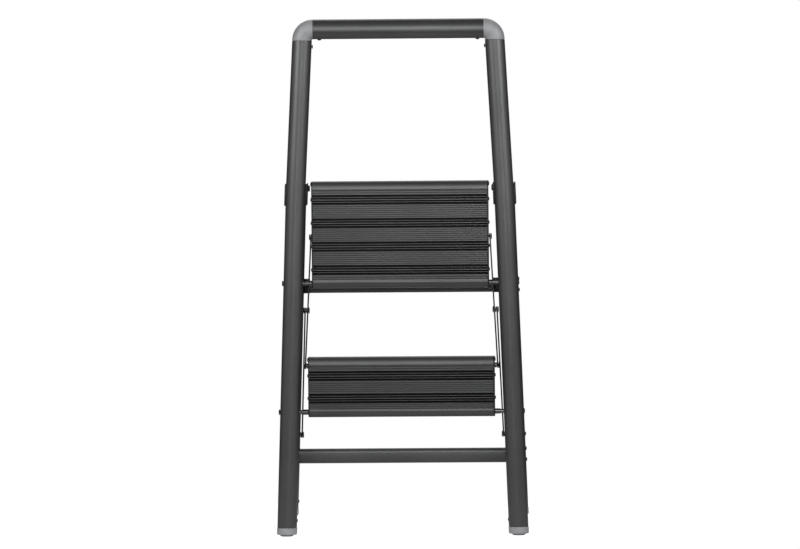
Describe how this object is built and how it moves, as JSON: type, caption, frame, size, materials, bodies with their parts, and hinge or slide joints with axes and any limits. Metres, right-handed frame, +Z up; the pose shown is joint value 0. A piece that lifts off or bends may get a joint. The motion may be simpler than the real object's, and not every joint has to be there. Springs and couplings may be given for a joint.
{
  "type": "folding step ladder",
  "caption": "Slim folding step ladder with a handrail bar, ribbed treads that turn up between splayed tube rails, and a rear frame joined to them by linked flat bars.",
  "frame": {"origin": "centre of the folded ladder's footprint, level with the lowest point of the front feet", "axes": "+X to the right seen from the front, +Y backwards towards the rear frame, +Z up along the folded ladder"},
  "size_m": [0.4864, 0.0812, 0.9962],
  "materials": {
    "dark_tube": "satin anthracite anodised tube",
    "dark_tread": "satin anthracite extrusion, grooved and finely ribbed",
    "grey_plastic": "matt light grey moulded plastic",
    "black_plastic": "matt black moulded plastic",
    "black_steel": "black coated steel, slightly glossy"
  },
  "bodies": {
    "front_frame": {"top_handle_bar": "dark_tube", "upper_tread_axle": "black_steel", "lower_tread_axle": "black_steel", "left_front_rail": "dark_tube", "left_corner_elbow": "grey_plastic", "left_elbow_bar_screw": "black_steel", "left_elbow_rail_screw": "black_steel", "left_front_foot": "grey_plastic", "left_hinge_bracket": "black_plastic", "left_hinge_pin": "black_steel", "right_front_rail": "dark_tube", "right_corner_elbow": "grey_plastic", "right_elbow_bar_screw": "black_steel", "right_elbow_rail_screw": "black_steel", "right_front_foot": "grey_plastic", "right_hinge_bracket": "black_plastic", "right_hinge_pin": "black_steel"},
    "upper_tread": {"upper_tread_plank": "dark_tread", "left_upper_tread_cap": "black_plastic", "right_upper_tread_cap": "black_plastic", "left_upper_tread_screw_1": "black_steel", "left_upper_tread_screw_2": "black_steel", "left_upper_tread_screw_3": "black_steel", "left_upper_tread_screw_4": "black_steel", "right_upper_tread_screw_1": "black_steel", "right_upper_tread_screw_2": "black_steel", "right_upper_tread_screw_3": "black_steel", "right_upper_tread_screw_4": "black_steel", "left_upper_link_pin": "black_steel", "right_upper_link_pin": "black_steel"},
    "lower_tread": {"lower_tread_plank": "dark_tread", "left_lower_tread_cap": "black_plastic", "right_lower_tread_cap": "black_plastic", "left_lower_tread_screw_1": "black_steel", "left_lower_tread_screw_2": "black_steel", "right_lower_tread_screw_1": "black_steel", "right_lower_tread_screw_2": "black_steel", "left_lower_link_pin": "black_steel", "right_lower_link_pin": "black_steel"},
    "rear_frame": {"lower_rear_crossbar": "dark_tube", "upper_rear_crossbar": "dark_tube", "left_rear_leg": "dark_tube", "left_crossbar_socket": "black_plastic", "left_crossbar_rivet_1": "black_steel", "left_crossbar_rivet_2": "black_steel", "left_rear_foot": "grey_plastic", "right_rear_leg": "dark_tube", "right_crossbar_socket": "black_plastic", "right_crossbar_rivet_1": "black_steel", "right_crossbar_rivet_2": "black_steel", "right_rear_foot": "grey_plastic"},
    "left_tread_link": {"left_tread_link": "black_steel", "left_middle_pivot_pin": "black_steel"},
    "left_brace_link": {"left_brace_link": "black_steel", "left_brace_foot_pin": "black_steel"},
    "right_tread_link": {"right_tread_link": "black_steel", "right_middle_pivot_pin": "black_steel"},
    "right_brace_link": {"right_brace_link": "black_steel", "right_brace_foot_pin": "black_steel"}
  },
  "joints": [
    {"name": "platform_fold", "type": "hinge", "parent": "front_frame", "child": "upper_tread", "pos_m": [0, -0.021, 0.488], "axis": [-1, 0, 0], "range_deg": [0, 70]},
    {"name": "lower_step_fold", "type": "hinge", "parent": "front_frame", "child": "lower_tread", "pos_m": [0, -0.021, 0.2395], "axis": [-1, 0, 0], "range_deg": [0, 70]},
    {"name": "rear_frame_swing", "type": "hinge", "parent": "front_frame", "child": "rear_frame", "pos_m": [0, 0.021, 0.6687], "axis": [1, 0, 0], "range_deg": [0, 35]},
    {"name": "left_tread_link_turn", "type": "hinge", "parent": "upper_tread", "child": "left_tread_link", "pos_m": [-0.1725, -0.0095, 0.5763], "axis": [-1, 0, 0], "range_deg": [-70, 0]},
    {"name": "left_brace_link_turn", "type": "hinge", "parent": "left_tread_link", "child": "left_brace_link", "pos_m": [-0.183, -0.0095, 0.435], "axis": [1, 0, 0], "range_deg": [0, 61.87]},
    {"name": "right_tread_link_turn", "type": "hinge", "parent": "upper_tread", "child": "right_tread_link", "pos_m": [0.1725, -0.0095, 0.5763], "axis": [-1, 0, 0], "range_deg": [-70, 0]},
    {"name": "right_brace_link_turn", "type": "hinge", "parent": "right_tread_link", "child": "right_brace_link", "pos_m": [0.183, -0.0095, 0.435], "axis": [1, 0, 0], "range_deg": [0, 61.87]}
  ],
  "couplings": [
    {"joint": "lower_step_fold", "follows": "platform_fold", "ratio": 1},
    {"joint": "rear_frame_swing", "follows": "platform_fold", "ratio": 0.5},
    {"joint": "left_tread_link_turn", "follows": "platform_fold", "ratio": -1},
    {"joint": "left_brace_link_turn", "follows": "platform_fold", "ratio": 0.88373},
    {"joint": "right_tread_link_turn", "follows": "platform_fold", "ratio": -1},
    {"joint": "right_brace_link_turn", "follows": "platform_fold", "ratio": 0.88373}
  ]
}
